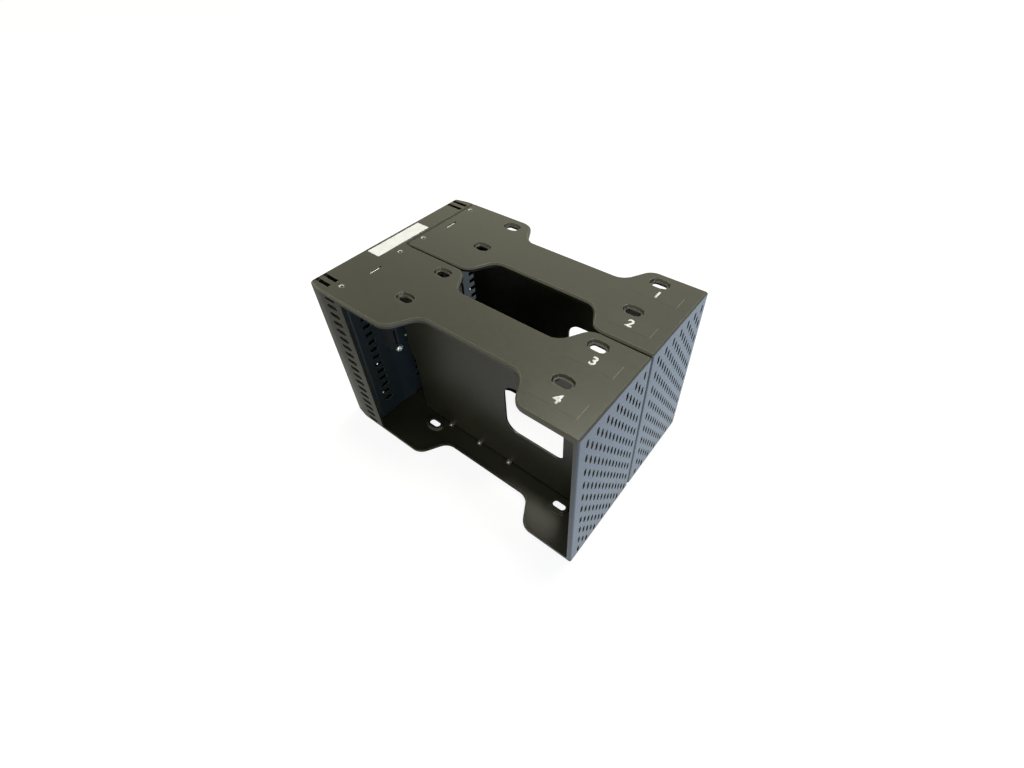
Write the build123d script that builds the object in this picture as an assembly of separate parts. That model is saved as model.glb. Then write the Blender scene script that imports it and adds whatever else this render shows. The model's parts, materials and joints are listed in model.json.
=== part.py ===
from build123d import *
import math
import os

# Open cage for four 3.5 inch drives standing on edge, folded from painted steel sheet.
# Millimetres. X runs along the cage from the connector end to the perforated end,
# Y from the front bay to the rear bay, Z up. Parts are drawn from the corner at the
# front of the connector end, and moved at the end so that the origin is bottom centre.

# Overall
length = 180.0
sheet = 1.2
bend = 1.6
rim_bevel = 1.0

# Drives: 3.5 inch form, standing on the long edge, board side towards +Y
drive_width = 101.6
drive_pitch = 28.2
drive_hole_spacing = 101.6
board_side_offset = 6.35
slot_row_first = 23.3
slot_column_first = 54.56
slot_columns = (slot_column_first, slot_column_first + drive_hole_spacing)
slot_rows = (slot_row_first, slot_row_first + drive_pitch)

# Units: two drives each, one behind the other
unit_margin = 3.6
unit_depth = 2 * drive_pitch + unit_margin
unit_gap = 1.0
unit_pitch = unit_depth + unit_gap
depth = unit_pitch + unit_depth
unit_starts = (0.0, unit_pitch)

# Pressed pockets with a slot for the drive screws
pocket_size = (12.0, 8.0)
pocket_depth = 1.65
pocket_taper = 25.9
screw_slot = (8.3, 4.1)
height = drive_width + 2 * (pocket_depth + sheet)

# Waists cut into the long edges of the top and bottom plates, each a depth and a slope
waist_from = 58.0
waist_to = 152.0
waist_radius = 9.0
front_waist = (16.7, 60.0)
inner_waist = (15.7, 60.0)

# Lips, returns and flanges
lip = 2.5
flange_width = 28.7
corner_radius = 2.4
corner_setback = 2.2
corner_run = 10.5
corner_blend = 25.0
edge_corner_radius = 1.2
end_return = 7.0
end_panel_margin = corner_setback + corner_radius

# Seam between the strip and the rear bracket
seam = 14.85
seam_gap = 0.4
tongue_reach = 9.0
tongue_from = 5.0
tongue_length = 40.0

# Perforated end
hole_size = (5.8, 2.0)
hole_columns = 13
hole_column_first = 7.0
hole_column_pitch = 4.0
hole_row_first = 5.2
hole_row_pitch = 10.42
hole_rows = int((height - 2 * hole_row_first) / hole_row_pitch) + 1

# Slotted flanges and end panel
vent_size = (9.2, 3.0)
vent_first = 4.0
vent_pitch = 5.94
thin_vent_height = 1.8
thin_vent_drop = 3.1
thin_vent_spacing = 4.5
thin_vent_z = height - thin_vent_drop
vent_rows = int((thin_vent_z - thin_vent_spacing - vent_first) / vent_pitch) + 1
flange_vent_x = 19.55
rear_vent_x = 22.0
end_vent_length = 28.0
end_vent_columns = 3
end_vent_pitch = 36.0
end_vent_rows = 15

# Rectangular vents in the strip
strip_vent_size = (11.8, 2.5)
strip_vent_x = 7.25
strip_vent_from_edge = (5.85, 10.95)
strip_vent_radius = 0.3

# Connector wall
wall_face = 22.4
wall_back = 16.4
wall_from = 5.5
wall_clearance = 0.2
wall_to = unit_depth - sheet - wall_clearance
wall_slot_size = (8.3, 3.0)
wall_slot_columns = (slot_rows[0] - 8.7, slot_rows[1] - 9.1)
wall_slot_pitch = 6.15
wall_slot_first = 15.5
wall_slot_margin = 8.0
wall_slot_rows = int((height - wall_slot_margin - wall_slot_first) / wall_slot_pitch) + 1
tab_length = 8.3
tab_y = 30.95
tab_clearance = 0.25
tab_drop = 0.3
relief = 2.2

# Rivets between the wall and the plates
rivet_x = 18.75
rivet_rows = (9.65, 51.85)
rivet_shank = 3.0
rivet_flare = 4.2
rivet_tail = 0.6

# Board and connectors
board_thickness = 1.6
standoff_height = 1.6
board_back = wall_face - sheet - standoff_height - board_thickness
board_y = (8.0, wall_to)
board_margins = (5.0, 4.3)
board_z = (board_margins[0], height - board_margins[1])
top_fixing_z = height - 7.7
board_fixings = ((9.9, top_fixing_z), (32.0, 46.7), (35.6, top_fixing_z), (48.5, 9.0))
screw_shank = 2.6
screw_hole = 2.9
screw_head = 5.2
screw_head_height = 1.7
screw_tip = 0.6
standoff_diameter = 5.0
fastener_sides = 8
receptacle_width = 6.5
receptacle_z = (52.2, 94.2)
receptacle_from_board_side = 5.8
receptacle_face = 26.5
receptacle_clearance = 0.15
receptacle_corner = 2.4
mating_slot_width = 1.8
mating_slot_depth = 5.0
mating_slot_offset = 1.6
mating_slot_margin = 2.2
mating_bridge_z = 66.7
mating_bridge = 1.6
power_header_size = (9.0, 10.2, 22.0)
power_header_place = (14.0, 22.0)
data_header_size = (7.5, 5.0, 16.5)
data_header_places = ((33.0, 24.0), (33.0, 64.0))
header_wall = 1.1

# Web between the two drives of a unit
web_face = slot_row_first + board_side_offset + 0.45
web_from = 37.2
web_step = 2.8
web_step_z = (47.0, 53.0)
web_step_radius = 2.5
web_flange = 11.2
web_flange_x = (60.0, 150.0)
window_x = (113.3, 152.8)
window_z = (35.3, 73.1)
window_left_radius = 8.5
window_right_radius = 4.5
rib_x = (64.1, 89.2, 113.6)
rib_size = (3.2, 2.4, 1.6)
rib_toe = 0.5

# Straight runs that stand for the half circle at the end of a slot
end_steps = 2
plain_steps = 1
pocket_steps = 4

reach = 5.0
near = 0.01


def box(x, y, z):
    """A block between two limits on each axis."""
    size = (x[1] - x[0], y[1] - y[0], z[1] - z[0])
    centre = ((x[0] + x[1]) / 2, (y[0] + y[1]) / 2, (z[0] + z[1]) / 2)
    return Pos(*centre) * Box(*size)


def rounded(face, corners, radius):
    """Round the corners of a flat face that lie at the given points."""
    picked = [
        vertex
        for vertex in face.vertices()
        if min(math.hypot(vertex.X - x, vertex.Y - y) for x, y in corners) < near
    ]
    return fillet(picked, radius)


def obround(size, centre):
    """A flat slot with round ends, its length first."""
    return Pos(*centre) * SlotOverall(*size)


def punched(size, centre, steps, upright=False):
    """A punched slot whose round ends are drawn as short straight runs."""
    radius = size[1] / 2
    straight = size[0] / 2 - radius
    turns = [-90 + 180 * step / steps for step in range(steps + 1)]
    end = [(radius * math.cos(math.radians(a)), radius * math.sin(math.radians(a))) for a in turns]
    corners = [(straight + x, y) for x, y in end] + [(-straight - x, -y) for x, y in end]
    outline = make_face(Polyline(*corners, close=True))
    return Pos(*centre) * Rot(0, 0, 90 if upright else 0) * outline


def waist(edge, shape, inward, forward=True):
    """The four corners of a waist in a long edge, before they are rounded."""
    inset, slope = shape
    lead = waist_radius * math.tan(math.radians(slope / 2))
    run = inset / math.tan(math.radians(slope))
    corners = [
        (waist_from + lead, edge),
        (waist_from + lead + run, edge + inward * inset),
        (waist_to - lead - run, edge + inward * inset),
        (waist_to - lead, edge),
    ]
    return corners if forward else corners[::-1]


def plan(lead, start, front_shape, rear_shape, extra):
    """The outline of a bracket seen from above, with its waists rounded."""
    end = start + unit_depth
    front = waist(start, front_shape, 1)
    rear = waist(end, rear_shape, -1, forward=False)
    corners = [*lead, *front, (length, start), (length, end), *rear, *extra]
    face = make_face(Polyline(*corners, close=True))
    face = rounded(face, front + rear, waist_radius)
    return rounded(face, [(length, start), (length, end)], edge_corner_radius)


def folded(face):
    """A closed shell of sheet over an outline, with bevelled rims at top and bottom."""
    outer = extrude(face, height)
    outer = chamfer(outer.faces().filter_by(Axis.Z).edges(), rim_bevel)
    inner = extrude(offset(face, -sheet, kind=Kind.INTERSECTION), height - 2 * sheet)
    return outer - Pos(0, 0, sheet) * inner


def mirrored(part):
    """The same part in the bottom plate instead of the top plate."""
    return Pos(0, 0, height) * mirror(part, Plane.XY)


def pocket_metal(x, y):
    """The sheet that is pressed down around a drive screw slot."""
    slant = sheet / math.cos(math.radians(pocket_taper))
    shift = 2 * (slant - sheet * math.tan(math.radians(pocket_taper)))
    top = punched((pocket_size[0] + shift, pocket_size[1] + shift), (x, y), pocket_steps)
    return Pos(0, 0, height - sheet) * extrude(top, -pocket_depth, taper=pocket_taper)


def pocket_hollow(x, y):
    """The tapered hollow of a pocket with the slot through its floor."""
    mouth = punched(pocket_size, (x, y), pocket_steps)
    hollow = extrude(mouth, -pocket_depth, taper=pocket_taper)
    slot = extrude(obround(screw_slot, (x, y)), -pocket_depth - sheet - reach)
    cap = extrude(mouth, reach)
    return [Pos(0, 0, height) * piece for piece in (hollow, slot, cap)]


def with_pockets(bracket, start):
    """Press the four drive screw pockets into each plate of a unit."""
    places = [(x, start + y) for x in slot_columns for y in slot_rows]
    metal = [pocket_metal(x, y) for x, y in places]
    hollow = [piece for x, y in places for piece in pocket_hollow(x, y)]
    bracket = bracket + metal + [mirrored(piece) for piece in metal]
    return bracket - hollow - [mirrored(piece) for piece in hollow]


def perforation(start):
    """Staggered slots through the perforated end of one unit."""
    first = start + hole_column_first
    holes = []
    for column in range(hole_columns):
        stagger = column % 2
        lowest = hole_row_first + stagger * hole_row_pitch / 2
        for row in range(hole_rows - stagger):
            centre = (first + column * hole_column_pitch, lowest + row * hole_row_pitch)
            outline = punched(hole_size, centre, end_steps, upright=True)
            profile = Plane.YZ.offset(length - reach) * outline
            holes.append(extrude(profile, 2 * reach))
    return holes


def column_of_vents(x, y, steps):
    """A column of level slots through a wall that faces front or rear."""
    long, tall = vent_size
    rows = [(vent_first + row * vent_pitch, tall) for row in range(vent_rows)]
    rows.append((thin_vent_z, thin_vent_height))
    slots = []
    for z, opening in rows:
        outline = punched((long, opening), (x, z), steps)
        profile = Plane.XZ.offset(-y - reach) * outline
        slots.append(extrude(profile, 2 * reach))
    return slots


def strip_vents(start, inward):
    """Two rectangular vents at one end of the strip, through both plates."""
    vents = []
    for distance in strip_vent_from_edge:
        profile = Pos(strip_vent_x, start + inward * distance) * RectangleRounded(
            *strip_vent_size, strip_vent_radius
        )
        vents.append(Pos(0, 0, -reach) * extrude(profile, height + 2 * reach))
    return vents


def plate_holes(start):
    """Slits for the wall tabs and holes for the wall rivets in both plates."""
    slit = box(
        (wall_face - sheet - tab_clearance, wall_face + tab_clearance),
        (
            start + tab_y - tab_length / 2 - tab_clearance,
            start + tab_y + tab_length / 2 + tab_clearance,
        ),
        (-reach, height + reach),
    )
    return [slit, *rivet_holes(start)]


def rivet_holes(start):
    """Holes for the wall rivets of one unit, through both plates and both wall flanges."""
    hole = turned([(rivet_shank / 2, -reach, height + reach)], fastener_sides)
    return [Pos(rivet_x, start + y, 0) * hole for y in rivet_rows]


def front_bracket():
    """Front unit with the strip that runs back over the connector end."""
    strip_edge = seam - seam_gap / 2
    inner_corner = (strip_edge, unit_depth)
    corners = [(0, corner_setback), (0, depth - corner_setback)]
    blends = [(corner_run, 0), (corner_run, depth)]
    lead = [corners[0], blends[0]]
    extra = [inner_corner, (strip_edge, depth), blends[1], corners[1]]
    face = plan(lead, 0, front_waist, inner_waist, extra)
    face = rounded(face, corners, corner_radius)
    face = rounded(face, blends, corner_blend)
    face = rounded(face, [inner_corner], edge_corner_radius)
    bracket = folded(face)
    between = (lip, height - lip)
    inside = (sheet, height - sheet)
    middle = unit_depth / 2
    bracket -= [
        box((flange_width, length - lip), (-reach, middle), between),
        box((strip_edge - sheet - near, length - lip), (middle, unit_depth + near), between),
        box((strip_edge - sheet, strip_edge + reach), (unit_depth, depth - sheet), inside),
        box((-reach, sheet), (end_return, depth - end_return), (end_return, height - end_return)),
    ]
    bracket = with_pockets(bracket, 0)
    vents = column_of_vents(flange_vent_x, 0, end_steps)
    bracket -= vents + strip_vents(0, 1) + strip_vents(depth, -1)
    return bracket - plate_holes(0) - perforation(0)


def rear_bracket():
    """Rear unit, with tongues that run under the strip of the front bracket."""
    left = seam + seam_gap / 2
    face = plan([(left, unit_pitch)], unit_pitch, inner_waist, inner_waist, [(left, depth)])
    face = rounded(face, [(left, unit_pitch)], edge_corner_radius)
    bracket = folded(face)
    between = (lip, height - lip)
    corner = depth - reach
    bracket -= [
        box((left - reach, length - lip), (unit_pitch - reach, corner), between),
        box((flange_width, length - lip), (corner - near, depth + reach), between),
        box((left - reach, left + sheet), (corner - near, depth - sheet), between),
    ]
    tongue = box(
        (left - tongue_reach, left + sheet / 2),
        (unit_pitch + tongue_from, unit_pitch + tongue_from + tongue_length),
        (height - 2 * sheet, height - sheet),
    )
    bracket = bracket + tongue + mirrored(tongue)
    bracket = with_pockets(bracket, unit_pitch)
    bracket -= column_of_vents(rear_vent_x, depth, plain_steps)
    return bracket - plate_holes(unit_pitch) - perforation(unit_pitch)


def end_panel():
    """Slotted panel inside the returns of the connector end."""
    across = (end_panel_margin, depth - end_panel_margin)
    panel = box((sheet, 2 * sheet), across, (sheet, height - sheet))
    first = depth / 2 - (end_vent_columns - 1) * end_vent_pitch / 2
    lowest = height / 2 - (end_vent_rows - 1) * vent_pitch / 2
    slots = []
    for column in range(end_vent_columns):
        for row in range(end_vent_rows):
            centre = (first + column * end_vent_pitch, lowest + row * vent_pitch)
            size = (end_vent_length, vent_size[1])
            slots.append(extrude(Plane.YZ * punched(size, centre, plain_steps), reach))
    return panel - slots


def receptacle_span(start, drive):
    """Where a receptacle runs from and to along Y."""
    board_side = start + slot_rows[drive] + board_side_offset
    first = board_side - receptacle_from_board_side
    return first, first + receptacle_width


def connector_wall(start):
    """Folded wall that carries the drive connectors of one unit."""
    outer = box((wall_back, wall_face), (start + wall_from, start + wall_to), (sheet, height - sheet))
    front = outer.faces().sort_by(Axis.X)[-1]
    outer = fillet(front.edges().sort_by(Axis.Y)[:-1], bend)
    inner = box(
        (wall_back - reach, wall_face - sheet),
        (start + wall_from + sheet, start + wall_to + reach),
        (2 * sheet, height - 2 * sheet),
    )
    wall = outer - inner
    corner = box(
        (wall_back - reach, wall_face - bend - sheet),
        (start + wall_from - reach, start + wall_from + relief),
        (-reach, relief + sheet),
    )
    wall -= [corner, mirrored(corner)]
    tab = box(
        (wall_face - sheet, wall_face),
        (start + tab_y - tab_length / 2, start + tab_y + tab_length / 2),
        (height - 3 * sheet, height - tab_drop),
    )
    wall = wall + tab + mirrored(tab)
    holes = []
    for y in wall_slot_columns:
        for row in range(wall_slot_rows):
            centre = (start + y, wall_slot_first + row * wall_slot_pitch)
            outline = punched(wall_slot_size, centre, plain_steps)
            profile = Plane.YZ.offset(wall_face - reach) * outline
            holes.append(extrude(profile, 2 * reach))
    for drive in range(2):
        first, last = receptacle_span(start, drive)
        holes.append(
            box(
                (wall_face - reach, wall_face + reach),
                (first - receptacle_clearance, last + receptacle_clearance),
                (
                    receptacle_z[0] - receptacle_clearance,
                    receptacle_z[1] + receptacle_clearance,
                ),
            )
        )
    return wall - holes - rivet_holes(start) - fixing_holes(start)


def fixing_holes(start):
    """Clearance holes for the board screws of one unit."""
    hole = turned([(screw_hole / 2, -2 * reach, 2 * reach)], fastener_sides)
    return [Pos(wall_face, start + y, z) * Rot(0, 90, 0) * hole for y, z in board_fixings]


def backplane_board(start):
    """Circuit board behind the connector wall of one unit."""
    board = box(
        (board_back, board_back + board_thickness),
        (start + board_y[0], start + board_y[1]),
        board_z,
    )
    return board - fixing_holes(start)


def receptacle(start, drive):
    """Drive connector that stands on the board and looks through the wall."""
    first, last = receptacle_span(start, drive)
    profile = make_face(
        Polyline(
            (first, receptacle_z[0]),
            (last, receptacle_z[0]),
            (last, receptacle_z[1]),
            (first, receptacle_z[1]),
            close=True,
        )
    )
    profile = rounded(profile, [(first, receptacle_z[0])], receptacle_corner)
    base = board_back + board_thickness
    body = extrude(Plane.YZ.offset(base) * profile, receptacle_face - base)
    middle = last - mating_slot_offset
    mouth = (receptacle_face - mating_slot_depth, receptacle_face + reach)
    across = (middle - mating_slot_width / 2, middle + mating_slot_width / 2)
    lower = (receptacle_z[0] + mating_slot_margin, mating_bridge_z - mating_bridge / 2)
    upper = (mating_bridge_z + mating_bridge / 2, receptacle_z[1] - mating_slot_margin)
    return body - [box(mouth, across, lower), box(mouth, across, upper)]


def header(size, place, start):
    """An open socket on the hidden side of the board."""
    deep, wide, tall = size
    y, z = place
    shell = box(
        (board_back - deep, board_back), (start + y, start + y + wide), (z, z + tall)
    )
    mouth = box(
        (board_back - deep - reach, board_back - 2 * header_wall),
        (start + y + header_wall, start + y + wide - header_wall),
        (z + header_wall, z + tall - header_wall),
    )
    return shell - mouth


def web(start):
    """Upright sheet between the two drives of a unit, with a window and three ribs."""
    face = start + web_face
    back = face + web_flange
    profile = make_face(
        Polyline(
            (face, sheet),
            (back, sheet),
            (back, 2 * sheet),
            (face + sheet, 2 * sheet),
            (face + sheet, height - 2 * sheet),
            (back, height - 2 * sheet),
            (back, height - sheet),
            (face, height - sheet),
            close=True,
        )
    )
    profile = rounded(profile, [(face, sheet), (face, height - sheet)], bend)
    right = length - sheet
    channel = extrude(Plane.YZ.offset(web_from) * profile, right - web_from)
    behind = (face + sheet, back + reach)
    tall = (0, height)
    channel -= [
        box((web_from - reach, web_flange_x[0]), behind, tall),
        box((web_flange_x[1], right + reach), behind, tall),
    ]
    channel -= [web_step_cut(face), window(face)]
    return channel + [rib(x, face) for x in rib_x]


def web_step_cut(face):
    """The step that narrows the lower part of the web at the connector side."""
    low, high = web_step_z
    inner = web_from + web_step
    step = make_face(
        Polyline(
            (web_from - reach, -reach),
            (inner, -reach),
            (inner, low),
            (web_from, high),
            (web_from - reach, high),
            close=True,
        )
    )
    step = rounded(step, [(inner, low)], web_step_radius)
    return extrude(Plane.XZ.offset(-face - reach) * step, 2 * reach)


def window(face):
    """The window through the web, with wider corners on the connector side."""
    left, right = window_x
    low, high = window_z
    outline = make_face(
        Polyline((left, low), (right, low), (right, high), (left, high), close=True)
    )
    outline = rounded(outline, [(left, low), (left, high)], window_left_radius)
    outline = rounded(outline, [(right, low), (right, high)], window_right_radius)
    return extrude(Plane.XZ.offset(-face - reach) * outline, 2 * reach)


def rib(x, face):
    """A small pressed rib at the foot of the web, lower than a fitted drive."""
    wide, out, up = rib_size
    profile = make_face(
        Polyline(
            (face - out, sheet),
            (face + sheet, sheet),
            (face + sheet, sheet + up),
            (face, sheet + up),
            (face - out, sheet + rib_toe),
            close=True,
        )
    )
    return extrude(Plane.YZ.offset(x - wide / 2) * profile, wide)


def turned(rings, sides):
    """A small turned part as a stack of many-sided discs, each (radius, from, to)."""
    discs = [
        Pos(0, 0, low) * extrude(RegularPolygon(radius, sides), high - low)
        for radius, low, high in rings
    ]
    part = discs[0]
    for disc in discs[1:]:
        part += disc
    return part


def rivet(x, y):
    """A rivet that ends flush with the plate and is flared under the wall flange."""
    foot = height - 2 * sheet
    shank = (rivet_shank / 2, foot, height)
    flare = (rivet_flare / 2, foot - rivet_tail, foot)
    return Pos(x, y, 0) * turned([shank, flare], fastener_sides)


def wall_rivets():
    """Every rivet between the plates and the connector walls."""
    top = [rivet(rivet_x, start + y) for start in unit_starts for y in rivet_rows]
    return Compound(top + [mirrored(piece) for piece in top])


def board_screw(y, z):
    """A screw with a stepped head, through the wall and the standoff into the board."""
    shank = (screw_shank / 2, board_back - screw_tip, wall_face)
    rim = (screw_head / 2, wall_face, wall_face + screw_head_height / 2)
    crown = (screw_head / 3, wall_face + screw_head_height / 2, wall_face + screw_head_height)
    return Pos(0, y, z) * Rot(0, 90, 0) * turned([shank, rim, crown], fastener_sides)


def board_screws():
    """Every screw that holds a board to its wall."""
    return Compound([board_screw(start + y, z) for start in unit_starts for y, z in board_fixings])


def board_standoffs():
    """Every spacer between a board and its wall."""
    half = standoff_height / 2
    middle = wall_face - sheet - half
    spacers = []
    for start in unit_starts:
        for y, z in board_fixings:
            place = Pos(middle, start + y, z) * Rot(0, 90, 0)
            ring = turned([(standoff_diameter / 2, -half, half)], fastener_sides)
            spacers.append(place * (ring - turned([(screw_hole / 2, -half, half)], fastener_sides)))
    return Compound(spacers)


def assembly():
    """Each named piece of the cage."""
    parts = {
        "front_bracket": front_bracket(),
        "rear_bracket": rear_bracket(),
        "end_panel": end_panel(),
        "wall_rivets": wall_rivets(),
        "board_screws": board_screws(),
        "board_standoffs": board_standoffs(),
    }
    bays = iter(("bay_4", "bay_3", "bay_2", "bay_1"))
    for name, start in zip(("front", "rear"), unit_starts):
        parts[f"{name}_web"] = web(start)
        parts[f"{name}_connector_wall"] = connector_wall(start)
        parts[f"{name}_backplane_board"] = backplane_board(start)
        parts[f"{name}_power_header"] = header(power_header_size, power_header_place, start)
        parts[f"{name}_data_headers"] = Compound(
            [header(data_header_size, place, start) for place in data_header_places]
        )
        for drive in range(2):
            parts[f"{next(bays)}_receptacle"] = receptacle(start, drive)
    return parts


os.makedirs("parts", exist_ok=True)
centring = Pos(-length / 2, -depth / 2, 0)
for name, part in assembly().items():
    export_step(centring * part, f"parts/{name}.step")
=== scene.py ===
import json
import math

import bmesh
import bpy
from mathutils import Matrix, Vector


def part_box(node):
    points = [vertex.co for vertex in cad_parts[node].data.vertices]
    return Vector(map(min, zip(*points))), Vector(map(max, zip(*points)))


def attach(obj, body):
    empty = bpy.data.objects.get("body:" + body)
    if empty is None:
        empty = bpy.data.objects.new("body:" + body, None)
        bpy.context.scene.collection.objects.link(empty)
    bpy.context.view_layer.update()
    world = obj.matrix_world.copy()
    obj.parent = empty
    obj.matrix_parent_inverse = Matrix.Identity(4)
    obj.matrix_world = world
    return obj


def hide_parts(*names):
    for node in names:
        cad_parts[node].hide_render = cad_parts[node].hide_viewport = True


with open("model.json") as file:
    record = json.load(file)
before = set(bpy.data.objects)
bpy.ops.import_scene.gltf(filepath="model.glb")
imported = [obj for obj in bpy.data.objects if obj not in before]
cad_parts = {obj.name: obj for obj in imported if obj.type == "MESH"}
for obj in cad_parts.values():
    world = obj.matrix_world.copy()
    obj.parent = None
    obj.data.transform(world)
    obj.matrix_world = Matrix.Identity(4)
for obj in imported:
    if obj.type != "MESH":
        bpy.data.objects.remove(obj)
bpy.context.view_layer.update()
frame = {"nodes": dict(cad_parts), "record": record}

# Looks for the drive cage. Lengths of the cage and its pieces are in millimetres from the
# cage's front left bottom corner, X to the perforated end, Y to the rear, Z up, and at()
# turns them into the frame's metres from the middle of the footprint. Lengths in materials,
# stage, lights and camera are in the frame's metres.

LENGTH = 180.0
DEPTH = 121.0
HEIGHT = 107.3
SHEET = 1.2
UNIT_PITCH = 61.0
UNIT_STARTS = (0.0, UNIT_PITCH)
UNITS = ("front", "rear")
SLOT_ROWS = (23.3, 51.5, 84.3, 112.5)
BAYS = ("4", "3", "2", "1")


def at(x, y, z):
    """A point given in millimetres from the corner, in the frame's metres."""
    return Vector(((x - LENGTH / 2) / 1000, (y - DEPTH / 2) / 1000, z / 1000))


def corners_of(node):
    """A node's lowest and highest corners, in millimetres from the cage's corner."""
    shift = Vector((LENGTH / 2, DEPTH / 2, 0))
    return [Vector(corner) * 1000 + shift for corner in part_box(node)]


# Materials

EDGE_SAMPLES = 4
EDGE_ROUNDING = 0.0003
# Edges turn pale where the rounded normal leaves the flat one: partly edge wear, partly painted
# highlight on folds and rims.
EDGE_FLAT = 0.996
EDGE_WEAR_AND_HIGHLIGHT = 0.95


def graded(tree, value, start, end):
    """A result that goes between two (value, result) points and stays even past them."""
    node = tree.nodes.new("ShaderNodeMapRange")
    limits = {"From Min": start[0], "To Min": start[1], "From Max": end[0], "To Max": end[1]}
    for name, limit in limits.items():
        node.inputs[name].default_value = limit
    tree.links.new(value, node.inputs["Value"])
    return node.outputs["Result"]


class Nodes:
    """A material's node tree with short calls to add and link nodes."""

    def __init__(self, name):
        self.material = bpy.data.materials.new(name)
        self.material.use_nodes = True
        self.tree = self.material.node_tree
        self.shader = self.tree.nodes["Principled BSDF"]
        self.output = self.tree.nodes["Material Output"]

    def add(self, kind, **settings):
        """A new node with its inputs and options set by name."""
        node = self.tree.nodes.new(kind)
        for key, value in settings.items():
            if key in node.inputs:
                node.inputs[key].default_value = value
            else:
                setattr(node, key, value)
        return node

    def link(self, source, target):
        """Join an output to an input."""
        self.tree.links.new(source, target)

    def position(self):
        """Where a surface point is on the object, in metres."""
        return self.add("ShaderNodeTexCoord").outputs["Object"]

    def noise(self, scale, detail=3.0, roughness=0.5):
        """Soft noise over the object, its scale in features per metre."""
        node = self.add("ShaderNodeTexNoise", Scale=scale, Detail=detail, Roughness=roughness)
        self.link(self.position(), node.inputs["Vector"])
        return node.outputs["Fac"]

    def spread(self, value, low, high, start=0.3, end=0.7):
        """The value's range from start to end, spread between low and high."""
        return graded(self.tree, value, (start, low), (end, high))

    def mix(self, factor, first, second):
        """One colour over another by a factor."""
        node = self.add("ShaderNodeMix", data_type="RGBA")
        self.link(factor, node.inputs["Factor"])
        for socket, colour in ((node.inputs[6], first), (node.inputs[7], second)):
            if hasattr(colour, "is_output"):
                self.link(colour, socket)
            else:
                socket.default_value = (*colour, 1.0)
        return node.outputs[2]

    def mottled(self, noise, colour, share):
        """A colour that a noise takes down to a share of itself."""
        darker = [channel * share for channel in colour]
        return self.mix(self.spread(noise, 0.0, 1.0), colour, darker)

    def colour(self, shade):
        """Give the shader its colour."""
        self.link(shade, self.shader.inputs["Base Color"])

    def roughness(self, noise, low, high):
        """Give the shader a roughness that wanders between two values."""
        self.link(self.spread(noise, low, high), self.shader.inputs["Roughness"])

    def softened(self, radius):
        """The surface's normal with its edges rounded over a small radius."""
        return self.add("ShaderNodeBevel", samples=EDGE_SAMPLES, Radius=radius).outputs["Normal"]

    def wear_and_highlight_edge(self, normal):
        """A factor that rises where the rounded normal leaves the flat one, for pale edges that are
        partly wear and partly painted highlight.
        """
        flat = self.add("ShaderNodeNewGeometry").outputs["Normal"]
        match = self.add("ShaderNodeVectorMath", operation="DOT_PRODUCT")
        self.link(flat, match.inputs[0])
        self.link(normal, match.inputs[1])
        return self.spread(match.outputs["Value"], 0.0, 1.0, EDGE_FLAT, EDGE_WEAR_AND_HIGHLIGHT)

    def bump(self, height, strength, distance, normal=None):
        """Give the shader fine relief, over another normal if there is one."""
        node = self.add("ShaderNodeBump", Strength=strength, Distance=distance)
        self.link(height, node.inputs["Height"])
        if normal:
            self.link(normal, node.inputs["Normal"])
        self.link(node.outputs["Normal"], self.shader.inputs["Normal"])


COAT_MOTTLE = {"scale": 40.0, "detail": 5.0}
COAT_MOTTLE_SHARE = 0.88
COAT_SHEEN = {"scale": 900.0, "detail": 2.0}
COAT_SMOOTHER = 0.04
COAT_ROUGHER = 0.06
COAT_GRAIN = {"scale": 3200.0, "detail": 2.0, "roughness": 0.6}
COAT_BUMP = {"strength": 0.15, "distance": 0.00008}


def painted_sheet(name, colour, wear_and_highlight, roughness):
    """Satin powder coat: a fine grain, faint mottling and pale edges that are partly wear and
    partly painted highlight.
    """
    nodes = Nodes(name)
    mottle = nodes.mottled(nodes.noise(**COAT_MOTTLE), colour, COAT_MOTTLE_SHARE)
    rounded = nodes.softened(EDGE_ROUNDING)
    nodes.colour(nodes.mix(nodes.wear_and_highlight_edge(rounded), mottle, wear_and_highlight))
    sheen = nodes.noise(**COAT_SHEEN)
    nodes.roughness(sheen, roughness - COAT_SMOOTHER, roughness + COAT_ROUGHER)
    nodes.bump(nodes.noise(**COAT_GRAIN), normal=rounded, **COAT_BUMP)
    return nodes.material


METAL_SPOTS = 700.0
METAL_SPOT_SHARE = 0.75
METAL_SHEEN = 1500.0
METAL_SMOOTHER = 0.06
METAL_ROUGHER = 0.1
METAL_GRAIN = 5000.0
METAL_BUMP = {"strength": 0.15, "distance": 0.00005}


def bright_metal(name, colour, roughness):
    """Bare or plated metal with a fine grain and dull spots."""
    nodes = Nodes(name)
    nodes.shader.inputs["Metallic"].default_value = 1.0
    nodes.colour(nodes.mottled(nodes.noise(METAL_SPOTS), colour, METAL_SPOT_SHARE))
    sheen = nodes.noise(METAL_SHEEN)
    nodes.roughness(sheen, roughness - METAL_SMOOTHER, roughness + METAL_ROUGHER)
    nodes.bump(nodes.noise(METAL_GRAIN), **METAL_BUMP)
    return nodes.material


PLASTIC_SHADE = 150.0
PLASTIC_SHADE_SHARE = 0.9
PLASTIC_SHEEN = 1200.0
PLASTIC_SHEEN_HALF = 0.05
PLASTIC_GRAIN = 4000.0
PLASTIC_BUMP_HEIGHT = 0.00005


def moulded_plastic(name, colour, roughness, grain=0.12):
    """Moulded plastic, paper, print or film with a fine even grain."""
    nodes = Nodes(name)
    nodes.colour(nodes.mottled(nodes.noise(PLASTIC_SHADE), colour, PLASTIC_SHADE_SHARE))
    sheen = nodes.noise(PLASTIC_SHEEN)
    nodes.roughness(sheen, roughness - PLASTIC_SHEEN_HALF, roughness + PLASTIC_SHEEN_HALF)
    nodes.bump(nodes.noise(PLASTIC_GRAIN), grain, PLASTIC_BUMP_HEIGHT)
    return nodes.material


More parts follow.
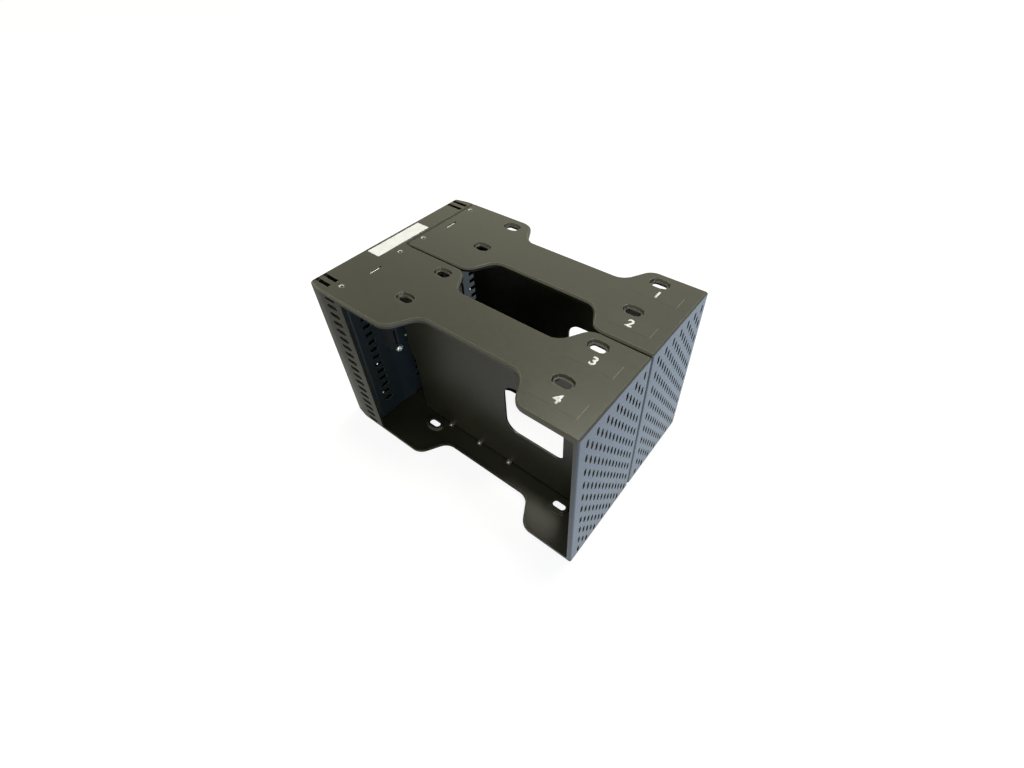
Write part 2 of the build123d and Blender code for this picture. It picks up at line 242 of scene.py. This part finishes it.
RUNS = {"Scale": 420.0, "Distortion": 6.0, "Detail": 2.0}
RUNS_START = 0.6
RUNS_END = 0.75
RESIST_COLOUR = (0.004, 0.013, 0.008)
RUN_COLOUR = (0.007, 0.024, 0.013)
RESIST_SHEEN = 800.0
RESIST_ROUGHNESS = (0.25, 0.4)
RUNS_BUMP = {"strength": 0.2, "distance": 0.00005}


def circuit_board(name):
    """Green solder resist with faint copper runs under it."""
    nodes = Nodes(name)
    weave = nodes.add("ShaderNodeTexWave", **RUNS)
    nodes.link(nodes.position(), weave.inputs["Vector"])
    runs = nodes.spread(weave.outputs["Fac"], 0.0, 1.0, RUNS_START, RUNS_END)
    nodes.colour(nodes.mix(runs, RESIST_COLOUR, RUN_COLOUR))
    nodes.roughness(nodes.noise(RESIST_SHEEN), *RESIST_ROUGHNESS)
    nodes.bump(runs, **RUNS_BUMP)
    return nodes.material


PAINT_COLOUR = (0.023, 0.022, 0.0135)
# The connector walls' paint is bluer and a little darker than the sheet's: painted cool light and
# shade.
COOL_LIT_WALL_COLOUR = (0.010, 0.018, 0.024)
# Pale edge colour: partly edge wear, partly painted highlight.
WEAR_AND_HIGHLIGHT_COLOUR = (0.19, 0.18, 0.145)

PAINT = painted_sheet("sheet_paint", PAINT_COLOUR, WEAR_AND_HIGHLIGHT_COLOUR, 0.34)
COOL_LIT_WALL_PAINT = painted_sheet("cool_lit_wall_paint", COOL_LIT_WALL_COLOUR, WEAR_AND_HIGHLIGHT_COLOUR, 0.45)
STEEL = bright_metal("zinc_plate", (0.75, 0.75, 0.76), 0.3)
BRASS = bright_metal("spacer_brass", (0.72, 0.55, 0.26), 0.35)
GOLD = bright_metal("contact_gold", (0.83, 0.62, 0.24), 0.25)
# Bright steel used only for small painted highlights: rivet crescents, tab tops and rib beads.
GLINT_STEEL = bright_metal("glint_steel", (0.75, 0.75, 0.73), 0.5)
SOCKET = moulded_plastic("socket_plastic", (0.035, 0.036, 0.04), 0.45)
# Lighter grey plastic for the painted highlight on each connector mouth's edge.
MOUTH_HIGHLIGHT = moulded_plastic("mouth_highlight_plastic", (0.09, 0.095, 0.105), 0.45)
# Near-black for painted shade in the rivet hollows.
SHADE_BLACK = moulded_plastic("rivet_painted_shade", (0.004, 0.004, 0.004), 0.8)
HEADER = moulded_plastic("header_plastic", (0.72, 0.70, 0.64), 0.45)
INK = moulded_plastic("white_ink", (0.97, 0.97, 0.95), 0.5, grain=0.05)
PAPER = moulded_plastic("label_paper", (0.97, 0.985, 1.0), 0.55, grain=0.08)
FILM = moulded_plastic("clear_film", PAINT_COLOUR, 0.38, grain=0.03)
# A pale strip on each film's right edge: painted highlight.
FILM_EDGE_HIGHLIGHT = moulded_plastic("film_edge_highlight", WEAR_AND_HIGHLIGHT_COLOUR, 0.4, grain=0.03)
BOARD = circuit_board("board_resist")

CAD_MATERIALS = {
    "painted_sheet": PAINT,
    "connector_plastic": SOCKET,
    "header_plastic": HEADER,
    "circuit_board": BOARD,
    "bright_steel": STEEL,
    "spacer_brass": BRASS,
}
# These nodes take the paint with painted cool light and shade.
WALL_NODES = ("front_connector_wall", "rear_connector_wall")
WELD_DISTANCE = 0.000002
CREASE_ANGLE = 38
FLAT_FACE_WEIGHT = 90


def dress_cad_nodes():
    """Give every carried-over node its finish and even shading on flat sheet."""
    for part in frame["record"]["subparts"]:
        node = frame["nodes"][part["node"]]
        node.data.materials.clear()
        finish = CAD_MATERIALS[part["material_slot"]]
        node.data.materials.append(COOL_LIT_WALL_PAINT if part["node"] in WALL_NODES else finish)
        weld = node.modifiers.new("weld", "WELD")
        weld.merge_threshold = WELD_DISTANCE
        crease = node.modifiers.new("crease", "EDGE_SPLIT")
        crease.split_angle = math.radians(CREASE_ANGLE)
        shading = node.modifiers.new("shading", "WEIGHTED_NORMAL")
        shading.weight = FLAT_FACE_WEIGHT


# Mesh pieces


def add_piece(name, shape, material):
    """Turn a bmesh into a piece that rides on the cage."""
    bmesh.ops.recalc_face_normals(shape, faces=shape.faces)
    mesh = bpy.data.meshes.new(name)
    shape.to_mesh(mesh)
    shape.free()
    mesh.materials.append(material)
    piece = bpy.data.objects.new(name, mesh)
    bpy.context.scene.collection.objects.link(piece)
    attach(piece, "root")
    return piece


def soften(piece, width, segments=2):
    """Round a piece's edges over a width in millimetres."""
    bevel = piece.modifiers.new("soft_edges", "BEVEL")
    bevel.width = width / 1000
    bevel.segments = segments
    bevel.limit_method = "ANGLE"


def raise_faces(shape, faces, thickness):
    """Raise flat faces into a solid by a thickness in millimetres."""
    raised = bmesh.ops.extrude_face_region(shape, geom=faces)["geom"]
    points = [item for item in raised if isinstance(item, bmesh.types.BMVert)]
    bmesh.ops.translate(shape, verts=points, vec=(0, 0, thickness / 1000))


def prism(shape, outline, z, thickness):
    """Raise a flat outline of (x, y) points from a height by a thickness."""
    face = shape.faces.new([shape.verts.new(at(x, y, z)) for x, y in outline])
    raise_faces(shape, [face], thickness)


def rounded_rectangle(x, y, radius, steps=5):
    """The outline of a rectangle between two limits on each axis, with round corners."""
    centres = (
        (x[1] - radius, y[1] - radius, 0),
        (x[0] + radius, y[1] - radius, 90),
        (x[0] + radius, y[0] + radius, 180),
        (x[1] - radius, y[0] + radius, 270),
    )
    outline = []
    for centre_x, centre_y, start in centres:
        for step in range(steps + 1):
            turn = math.radians(start + 90 * step / steps)
            outline.append((centre_x + radius * math.cos(turn), centre_y + radius * math.sin(turn)))
    return outline


def block(shape, x, y, z):
    """A block between two limits on each axis."""
    outline = [(x[0], y[0]), (x[1], y[0]), (x[1], y[1]), (x[0], y[1])]
    prism(shape, outline, z[0], z[1] - z[0])


def turned(shape, profile, place, turn=Matrix(), sides=20):
    """A turned form from (radius, height) points, its axis Z before the turn."""
    rings = []
    for radius, height in profile:
        count = sides if radius else 1
        ring = []
        for step in range(count):
            angle = 2 * math.pi * step / count
            point = Vector((radius * math.cos(angle), radius * math.sin(angle), height))
            ring.append(shape.verts.new(at(*place) + turn @ point / 1000))
        rings.append(ring)
    for low, high in zip(rings, rings[1:]):
        for step in range(sides):
            after = (step + 1) % sides
            corners = [low[step % len(low)], low[after % len(low)]]
            corners += [high[after % len(high)], high[step % len(high)]]
            shape.faces.new(list(dict.fromkeys(corners)))


# Marks on the top plates

NUMBER_X = 159.9
NUMBER_FROM_SLOT = 9.7
NUMBER_HEIGHT = 5.8
DIGIT_BOLDNESS = 0.028
DIGIT_WELD = 0.0001
FILM_X = (147.0, 172.6)
FILM_HALF = 4.6
FILM_CORNER = 0.6
FILM_THICKNESS = 0.03
FILM_EDGE_WIDTH = 0.22
INK_THICKNESS = 0.05
LABEL_X = (2.85, 12.7)
LABEL_Y = (40.8, 81.1)
LABEL_CORNER = 0.4
LABEL_THICKNESS = 0.08


def add_bay_films():
    """Clear film on the plate under each number, and a pale strip on its right edge that is a
    painted highlight.
    """
    for bay, row in zip(BAYS, SLOT_ROWS):
        middle = row - NUMBER_FROM_SLOT
        across = (middle - FILM_HALF, middle + FILM_HALF)
        shape = bmesh.new()
        prism(shape, rounded_rectangle(FILM_X, across, FILM_CORNER), HEIGHT, FILM_THICKNESS)
        add_piece(f"bay_{bay}_film", shape, FILM)
        edge = bmesh.new()
        along = (FILM_X[1], FILM_X[1] + FILM_EDGE_WIDTH)
        block(edge, along, across, (HEIGHT, HEIGHT + INK_THICKNESS))
        add_piece(f"bay_{bay}_film_edge_highlight", edge, FILM_EDGE_HIGHLIGHT)


def flat_digit(digit):
    """A digit as flat faces, and the text object that it was made from."""
    curve = bpy.data.curves.new(f"bay_{digit}_digit", "FONT")
    curve.body = digit
    curve.offset = DIGIT_BOLDNESS
    source = bpy.data.objects.new(f"bay_{digit}_digit", curve)
    shape = bmesh.new()
    shape.from_mesh(bpy.data.meshes.new_from_object(source))
    bmesh.ops.remove_doubles(shape, verts=shape.verts, dist=DIGIT_WELD)
    return shape, source


def add_bay_numbers():
    """A plain printed number in front of each bay's right slot."""
    for bay, row in zip(BAYS, SLOT_ROWS):
        shape, source = flat_digit(bay)
        low = Vector([min(vertex.co[axis] for vertex in shape.verts) for axis in range(3)])
        high = Vector([max(vertex.co[axis] for vertex in shape.verts) for axis in range(3)])
        scale = NUMBER_HEIGHT / 1000 / (high.y - low.y)
        place = at(NUMBER_X, row - NUMBER_FROM_SLOT, HEIGHT + FILM_THICKNESS)
        for vertex in shape.verts:
            vertex.co = place + (vertex.co - (low + high) / 2) * scale
        raise_faces(shape, shape.faces[:], INK_THICKNESS)
        add_piece(f"bay_{bay}_number", shape, INK)
        bpy.data.objects.remove(source)


def add_blank_label():
    """The blank paper label on the strip."""
    shape = bmesh.new()
    prism(shape, rounded_rectangle(LABEL_X, LABEL_Y, LABEL_CORNER), HEIGHT, LABEL_THICKNESS)
    add_piece("blank_label", shape, PAPER)


# Fasteners and small parts, with painted highlights and painted shade

ALONG_X = Matrix.Rotation(math.radians(90), 3, "Y")
SMALL_SIDES = 14
RIVET_X = 18.75
RIVET_ROWS = (9.65, 51.85)
RIVET_HEAD = ((1.2, 0), (1.25, 0.12), (1.4, 0.18), (1.7, 0.16), (1.95, 0.07), (2.05, 0))
# A bright metal disc with a near-black disc set off-centre on it: painted highlight and painted
# shade in the rivet's hollow.
RIVET_HIGHLIGHT_DISC = ((0, 0.04), (1.2, 0.04), (1.2, 0))
RIVET_SHADE_DISC = ((0, 0.08), (0.85, 0.08), (0.85, 0))
SHADE_DISC_OFFSET = (0.3, -0.1)
# Each wall tab's top carries a bright strip over part of its slit: painted highlight.
TAB_X = (21.6, 22.1)
TAB_Y = 30.95
TAB_SPAN = (-4.0, 2.4)
TAB_TOP = 107.0
TAB_HIGHLIGHT_HEIGHT = 0.12
TAB_EDGE = 0.05
SEAM_BACKING_X = (12.6, 17.4)
SEAM_BACKING_Y = (57.6, 63.4)
SEAM_BACKING_Z = (HEIGHT - 2 * SHEET - 0.3, HEIGHT - SHEET - 0.05)
SEAM_BACKING_EDGE = 0.15
WALL_FACE = 22.4
FIXINGS = ((9.9, 99.6), (32.0, 46.7), (35.6, 99.6), (48.5, 9.0))
SCREW_FOOT = 15.8
SCREW_SHANK = 1.3
SCREW_TIP_SHARE = 0.7
SCREW_TIP_HEIGHT = 0.4
SCREW_HEAD = ((2.6, 0), (2.6, 0.5), (2.35, 1.05), (1.7, 1.5), (1.15, 1.66), (0.95, 1.0), (0, 0.9))
# Bright steel domes on the connector walls stand for glints of light: painted highlight.
WALL_GLINT_PLACES = ((38.9, 53.0), (13.8, 46.9), (11.6, 22.3))
WALL_GLINT_DOME = ((0.75, 0), (0.7, 0.3), (0.45, 0.52), (0, 0.6))
# Bright metal beads on the web ribs are painted highlights.
BEAD = ((0.8, 0), (0.75, 0.3), (0.45, 0.5), (0, 0.56))
BEADS_X = (64.1, 89.2, 113.6)
BEAD_Y = 28.8
BEAD_Z = 2.1


def add_rivet_heads():
    """The set heads of the wall rivets: a ring in the sheet's paint, a bright metal disc and an
    off-centre near-black disc on it; the black disc is painted shade in the rivet's hollow and the
    bright crescent beside it is a painted highlight.
    """
    heads = bmesh.new()
    highlight_discs = bmesh.new()
    shade_discs = bmesh.new()
    aside, forward = SHADE_DISC_OFFSET
    for start in UNIT_STARTS:
        for y in RIVET_ROWS:
            turned(heads, RIVET_HEAD, (RIVET_X, start + y, HEIGHT))
            turned(highlight_discs, RIVET_HIGHLIGHT_DISC, (RIVET_X, start + y, HEIGHT))
            turned(shade_discs, RIVET_SHADE_DISC, (RIVET_X + aside, start + y + forward, HEIGHT))
    add_piece("rivet_heads", heads, PAINT)
    add_piece("rivet_painted_highlight", highlight_discs, GLINT_STEEL)
    add_piece("rivet_painted_shades", shade_discs, SHADE_BLACK)


def add_tab_highlights():
    """Bright metal strips on the tops of the wall tabs in their slits: painted highlight."""
    shape = bmesh.new()
    for start in UNIT_STARTS:
        across = (start + TAB_Y + TAB_SPAN[0], start + TAB_Y + TAB_SPAN[1])
        block(shape, TAB_X, across, (TAB_TOP, TAB_TOP + TAB_HIGHLIGHT_HEIGHT))
    soften(add_piece("tab_highlights", shape, GLINT_STEEL), TAB_EDGE)


def add_seam_backing():
    """A scrap of folded sheet that closes the corner where the two brackets meet."""
    shape = bmesh.new()
    block(shape, SEAM_BACKING_X, SEAM_BACKING_Y, SEAM_BACKING_Z)
    soften(add_piece("seam_backing", shape, PAINT), SEAM_BACKING_EDGE)


def add_board_screws():
    """Pan head screws with a socket, through wall and spacer into the board."""
    shape = bmesh.new()
    foot = SCREW_FOOT - WALL_FACE
    shank = (
        (0, foot),
        (SCREW_SHANK * SCREW_TIP_SHARE, foot),
        (SCREW_SHANK, foot + SCREW_TIP_HEIGHT),
        (SCREW_SHANK, 0),
    )
    for start in UNIT_STARTS:
        for y, z in FIXINGS:
            turned(shape, (*shank, *SCREW_HEAD), (WALL_FACE, start + y, z), ALONG_X)
    piece = add_piece("socket_screws", shape, STEEL)
    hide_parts("board_screws")


def add_wall_glints():
    """Small bright steel domes on the connector walls: painted glints of light."""
    shape = bmesh.new()
    for start in UNIT_STARTS:
        for y, z in WALL_GLINT_PLACES:
            turned(shape, WALL_GLINT_DOME, (WALL_FACE, start + y, z), ALONG_X, SMALL_SIDES)
    add_piece("wall_glints", shape, STEEL)


def add_web_bead_highlights():
    """Small bright metal beads on the ribs at the foot of each web: painted highlights on the rib
    tops.
    """
    shape = bmesh.new()
    for start in UNIT_STARTS:
        for x in BEADS_X:
            turned(shape, BEAD, (x, start + BEAD_Y, BEAD_Z), sides=SMALL_SIDES)
    add_piece("web_bead_highlights", shape, GLINT_STEEL)


# Connectors

CONTACT_PITCH = 1.27
CONTACT_GROUPS = ((7, 55.6), (15, 70.0))
CONTACT_WIDTH = 0.5
CONTACT_THICKNESS = 0.25
CONTACT_DEPTH = (-4.6, -0.5)
CONTACT_EDGE = 0.06
MATING_MIDDLE = 1.6
MATING_HALF = 0.9
# A lighter grey strip along each connector mouth's edge: painted highlight.
MOUTH_HIGHLIGHT_X = (-0.6, 0.12)
MOUTH_HIGHLIGHT_Y = (-0.42, -0.06)
MOUTH_HIGHLIGHT_Z = (54.5, 91.5)
MOUTH_HIGHLIGHT_EDGE = 0.08


def add_contacts():
    """Gold fingers in the mouth of each drive connector, and a lighter grey strip along the mouth's
    edge that is a painted highlight.
    """
    for bay in BAYS:
        high = corners_of(f"bay_{bay}_receptacle")[1]
        side = high.y - MATING_MIDDLE - MATING_HALF
        depth = (high.x + CONTACT_DEPTH[0], high.x + CONTACT_DEPTH[1])
        fingers = bmesh.new()
        for count, lowest in CONTACT_GROUPS:
            for step in range(count):
                z = lowest + step * CONTACT_PITCH
                block(fingers, depth, (side, side + CONTACT_THICKNESS), (z, z + CONTACT_WIDTH))
        piece = add_piece(f"bay_{bay}_contacts", fingers, GOLD)
        soften(piece, CONTACT_EDGE, 1)
        mouth_highlight = bmesh.new()
        along = (high.x + MOUTH_HIGHLIGHT_X[0], high.x + MOUTH_HIGHLIGHT_X[1])
        block(mouth_highlight, along, (high.y + MOUTH_HIGHLIGHT_Y[0], high.y + MOUTH_HIGHLIGHT_Y[1]), MOUTH_HIGHLIGHT_Z)
        soften(add_piece(f"bay_{bay}_rail", mouth_highlight, MOUTH_HIGHLIGHT), MOUTH_HIGHLIGHT_EDGE)


POWER_PINS = 4
POWER_PIN_PITCH = 5.08
POWER_PIN_INSET = 1.0
POWER_PIN = ((0, 0), (1.05, 0), (1.05, 5.6), (0.75, 6.6), (0, 7.0))
TONGUE_REACH = 5.5
TONGUE_THICKNESS = 1.1
TONGUE_HEIGHT = 11.0
TONGUE_INSET = 2.0
TONGUE_FROM_END = 2.75
TONGUE_EDGE = 0.15
DATA_CONTACTS = 7
DATA_CONTACT_FROM_FOOT = 1.2
DATA_CONTACT_INSETS = (1.6, 2.2)
DATA_CONTACT_THICKNESS = 0.2
DATA_CONTACT_EDGE = 0.05
ALONG_MINUS_X = Matrix.Rotation(math.radians(-90), 3, "Y")


def add_power_pins():
    """Round pins in each power header."""
    for unit in UNITS:
        low, high = corners_of(f"{unit}_power_header")
        middle = (low + high) / 2
        shape = bmesh.new()
        for pin in range(POWER_PINS):
            z = middle.z + (pin - (POWER_PINS - 1) / 2) * POWER_PIN_PITCH
            turned(shape, POWER_PIN, (high.x - POWER_PIN_INSET, middle.y, z), ALONG_MINUS_X)
        add_piece(f"{unit}_power_pins", shape, STEEL)


def add_data_blades():
    """Two tongues with gold contacts in each pair of data headers."""
    for unit in UNITS:
        low, high = corners_of(f"{unit}_data_headers")
        middle = (low.y + high.y) / 2
        across = (middle - TONGUE_THICKNESS / 2, middle + TONGUE_THICKNESS / 2)
        along = (high.x - TONGUE_INSET - TONGUE_REACH, high.x - TONGUE_INSET)
        inner, outer = DATA_CONTACT_INSETS
        reach = (high.x - inner - TONGUE_REACH, high.x - outer)
        tongues = bmesh.new()
        fingers = bmesh.new()
        for foot in (low.z + TONGUE_FROM_END, high.z - TONGUE_FROM_END - TONGUE_HEIGHT):
            block(tongues, along, across, (foot, foot + TONGUE_HEIGHT))
            for step in range(DATA_CONTACTS):
                z = foot + DATA_CONTACT_FROM_FOOT + step * CONTACT_PITCH
                side = (across[1], across[1] + DATA_CONTACT_THICKNESS)
                block(fingers, reach, side, (z, z + CONTACT_WIDTH))
        piece = add_piece(f"{unit}_data_tongues", tongues, SOCKET)
        soften(piece, TONGUE_EDGE)
        piece = add_piece(f"{unit}_data_contacts", fingers, GOLD)
        soften(piece, DATA_CONTACT_EDGE, 1)


# Floor and world. Pairs of points are (place or direction, strength) for graded().

WHITE = (1.0, 1.0, 1.0, 1.0)
COOL_WHITE = (0.62, 0.77, 1.0)
WARM_WHITE = (1.0, 1.0, 0.93)
SKY_WHITE = (1.0, 1.0, 0.80, 1.0)
FLOOR_SIZE = 6.0
FLOOR_Z = -0.0002
FLOOR_COLOUR = (0.2, 0.2, 0.2, 1.0)
FLOOR_ROUGHNESS = 0.9
FLOOR_SEEN = 0.9
FLOOR_TINT = ((0.03, 0.0), (0.11, 1.0))
FLOOR_GLOSS = ((-0.16, 0.2), (0.1, 0.9))
FLOOR_END_GLOSS = ((0.06, 0.0), (0.1, 0.6))
SHADE_INSIDE = 0.004
SHADE_OUTSIDE = 0.001
WORLD_COLOUR = (0.96, 0.98, 1.0, 1.0)
WORLD_STRENGTH = 0.09
SKY_BEHIND = ((0.4, 0.6), (0.66, 1.3))
SKY_IN_FRONT = ((0.1, 1.0), (0.38, 0.0))


def by_ray(tree, seen, gloss, other=None):
    """One light for camera and transmission rays, one for glossy rays, one for the rest."""
    path = tree.nodes.new("ShaderNodeLightPath")
    result = other
    rays = (("Is Glossy Ray", gloss), ("Is Transmission Ray", seen), ("Is Camera Ray", seen))
    for ray, light in rays:
        choice = tree.nodes.new("ShaderNodeMixShader")
        tree.links.new(path.outputs[ray], choice.inputs["Fac"])
        if result:
            tree.links.new(result.outputs[0], choice.inputs[1])
        tree.links.new(light.outputs[0], choice.inputs[2])
        result = choice
    return result.outputs[0]


def combined(tree, operation, first, second):
    """Two values put together by a sum, a product or the larger of the two."""
    node = tree.nodes.new("ShaderNodeMath")
    node.operation = operation
    tree.links.new(first, node.inputs[0])
    tree.links.new(second, node.inputs[1])
    return node.outputs[0]


def clear_of_cage(nodes, place):
    """A factor that is 0 on the floor under the cage and 1 beside it: a painted shadow of the cage
    in the floor's glossy light.
    """
    sides = []
    for axis, half in (("X", LENGTH / 2000), ("Y", DEPTH / 2000)):
        reach = nodes.add("ShaderNodeMath", operation="ABSOLUTE")
        nodes.link(place.outputs[axis], reach.inputs[0])
        edge = ((half - SHADE_INSIDE, 0.0), (half + SHADE_OUTSIDE, 1.0))
        sides.append(graded(nodes.tree, reach.outputs[0], *edge))
    return combined(nodes.tree, "MAXIMUM", *sides)


def floor_in_gloss(nodes):
    """What glossy surfaces see of the floor: cooler and brighter towards the perforated end, with a
    painted shadow under the cage.
    """
    light = nodes.add("ShaderNodeEmission")
    place = nodes.add("ShaderNodeSeparateXYZ")
    nodes.link(nodes.position(), place.inputs[0])
    along = place.outputs["X"]
    tint = nodes.mix(graded(nodes.tree, along, *FLOOR_TINT), WARM_WHITE, COOL_WHITE)
    nodes.link(tint, light.inputs["Color"])
    even = graded(nodes.tree, along, *FLOOR_GLOSS)
    at_end = graded(nodes.tree, along, *FLOOR_END_GLOSS)
    strength = combined(nodes.tree, "ADD", even, at_end)
    shaded = combined(nodes.tree, "MULTIPLY", strength, clear_of_cage(nodes, place))
    nodes.link(shaded, light.inputs["Strength"])
    return light


def make_floor():
    """A pale floor that stays near white to the camera and keeps a soft shadow."""
    bpy.ops.mesh.primitive_plane_add(size=FLOOR_SIZE, location=(0, 0, FLOOR_Z))
    floor = bpy.context.object
    floor.name = "floor"
    nodes = Nodes("pale_floor")
    nodes.shader.inputs["Base Color"].default_value = FLOOR_COLOUR
    nodes.shader.inputs["Roughness"].default_value = FLOOR_ROUGHNESS
    seen = nodes.add("ShaderNodeEmission", Color=WHITE, Strength=FLOOR_SEEN)
    both = nodes.add("ShaderNodeAddShader")
    nodes.link(nodes.shader.outputs[0], both.inputs[0])
    nodes.link(by_ray(nodes.tree, seen, floor_in_gloss(nodes)), both.inputs[1])
    nodes.link(both.outputs[0], nodes.output.inputs["Surface"])
    floor.data.materials.append(nodes.material)


def make_world():
    """White to the camera, a graded warm white in gloss and a plain dim light otherwise."""
    world = bpy.data.worlds.new("studio")
    world.use_nodes = True
    tree = world.node_tree
    back = tree.nodes["Background"]
    back.inputs["Color"].default_value = WORLD_COLOUR
    back.inputs["Strength"].default_value = WORLD_STRENGTH
    white = tree.nodes.new("ShaderNodeBackground")
    white.inputs["Color"].default_value = WHITE
    white.inputs["Strength"].default_value = 1.0
    gloss = tree.nodes.new("ShaderNodeBackground")
    gloss.inputs["Color"].default_value = SKY_WHITE
    direction = tree.nodes.new("ShaderNodeSeparateXYZ")
    tree.links.new(tree.nodes.new("ShaderNodeTexCoord").outputs["Generated"], direction.inputs[0])
    behind = graded(tree, direction.outputs["Y"], *SKY_BEHIND)
    in_front = graded(tree, direction.outputs["Y"], *SKY_IN_FRONT)
    tree.links.new(combined(tree, "ADD", behind, in_front), gloss.inputs["Strength"])
    tree.links.new(by_ray(tree, white, gloss, back), tree.nodes["World Output"].inputs["Surface"])
    bpy.context.scene.world = world


# Lights and camera

UPPER_CAGE = (0, 0, 0.08)
MIDDLE_CAGE = (0, 0, 0.05)

# Each lamp's name, place, target, width, watts and colour: a warm one above, a weak one at
# the front right, a cool one at the perforated end and a weak one at the connector end
LAMPS = (
    ("top_light", (0.0, 0.3, 1.2), UPPER_CAGE, 0.5, 11.5, (1.0, 0.98, 0.85)),
    ("front_light", (0.9, -0.53, 0.42), UPPER_CAGE, 0.18, 2.2, (0.85, 0.92, 1.0)),
    ("side_light", (1.1, 0.3, 0.04), MIDDLE_CAGE, 0.25, 12.0, (0.56, 0.76, 1.0)),
    ("rim_light", (-1.1, 0.25, 0.06), MIDDLE_CAGE, 0.15, 3.0, (0.94, 0.97, 1.0)),
)

SENSOR_WIDTH = 36.0
LENS = 18.042
LENS_SHIFT = (-0.01659, -0.02143)
NEAREST_SEEN = 0.01
CAMERA_PLACE = (0.15171, -0.16549, 0.27081)
CAMERA_TURN = (45.45, 1.35, 37.87)


def area_light(name, place, target, size, power, colour):
    """A square soft light aimed at a point."""
    data = bpy.data.lights.new(name, "AREA")
    data.size = size
    data.energy = power
    data.color = colour
    lamp = bpy.data.objects.new(name, data)
    lamp.location = place
    aim = Vector(target) - Vector(place)
    lamp.rotation_euler = aim.to_track_quat("-Z", "Y").to_euler()
    bpy.context.scene.collection.objects.link(lamp)


def make_lights():
    """All the lamps of the studio."""
    for lamp in LAMPS:
        area_light(*lamp)


def make_camera():
    """The photograph's viewpoint: close, above the front right corner, wide lens."""
    data = bpy.data.cameras.new("camera")
    data.sensor_width = SENSOR_WIDTH
    data.lens = LENS
    data.shift_x, data.shift_y = LENS_SHIFT
    data.clip_start = NEAREST_SEEN
    camera = bpy.data.objects.new("camera", data)
    camera.location = CAMERA_PLACE
    camera.rotation_euler = [math.radians(angle) for angle in CAMERA_TURN]
    bpy.context.scene.collection.objects.link(camera)
    bpy.context.scene.camera = camera


def main():
    """Make the studio, dress the carried-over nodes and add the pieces."""
    bpy.context.scene.view_settings.view_transform = "Standard"
    make_camera()
    make_world()
    make_lights()
    make_floor()
    dress_cad_nodes()
    add_bay_films()
    add_bay_numbers()
    add_blank_label()
    add_rivet_heads()
    add_tab_highlights()
    add_seam_backing()
    add_board_screws()
    add_wall_glints()
    add_web_bead_highlights()
    add_contacts()
    add_power_pins()
    add_data_blades()


main()
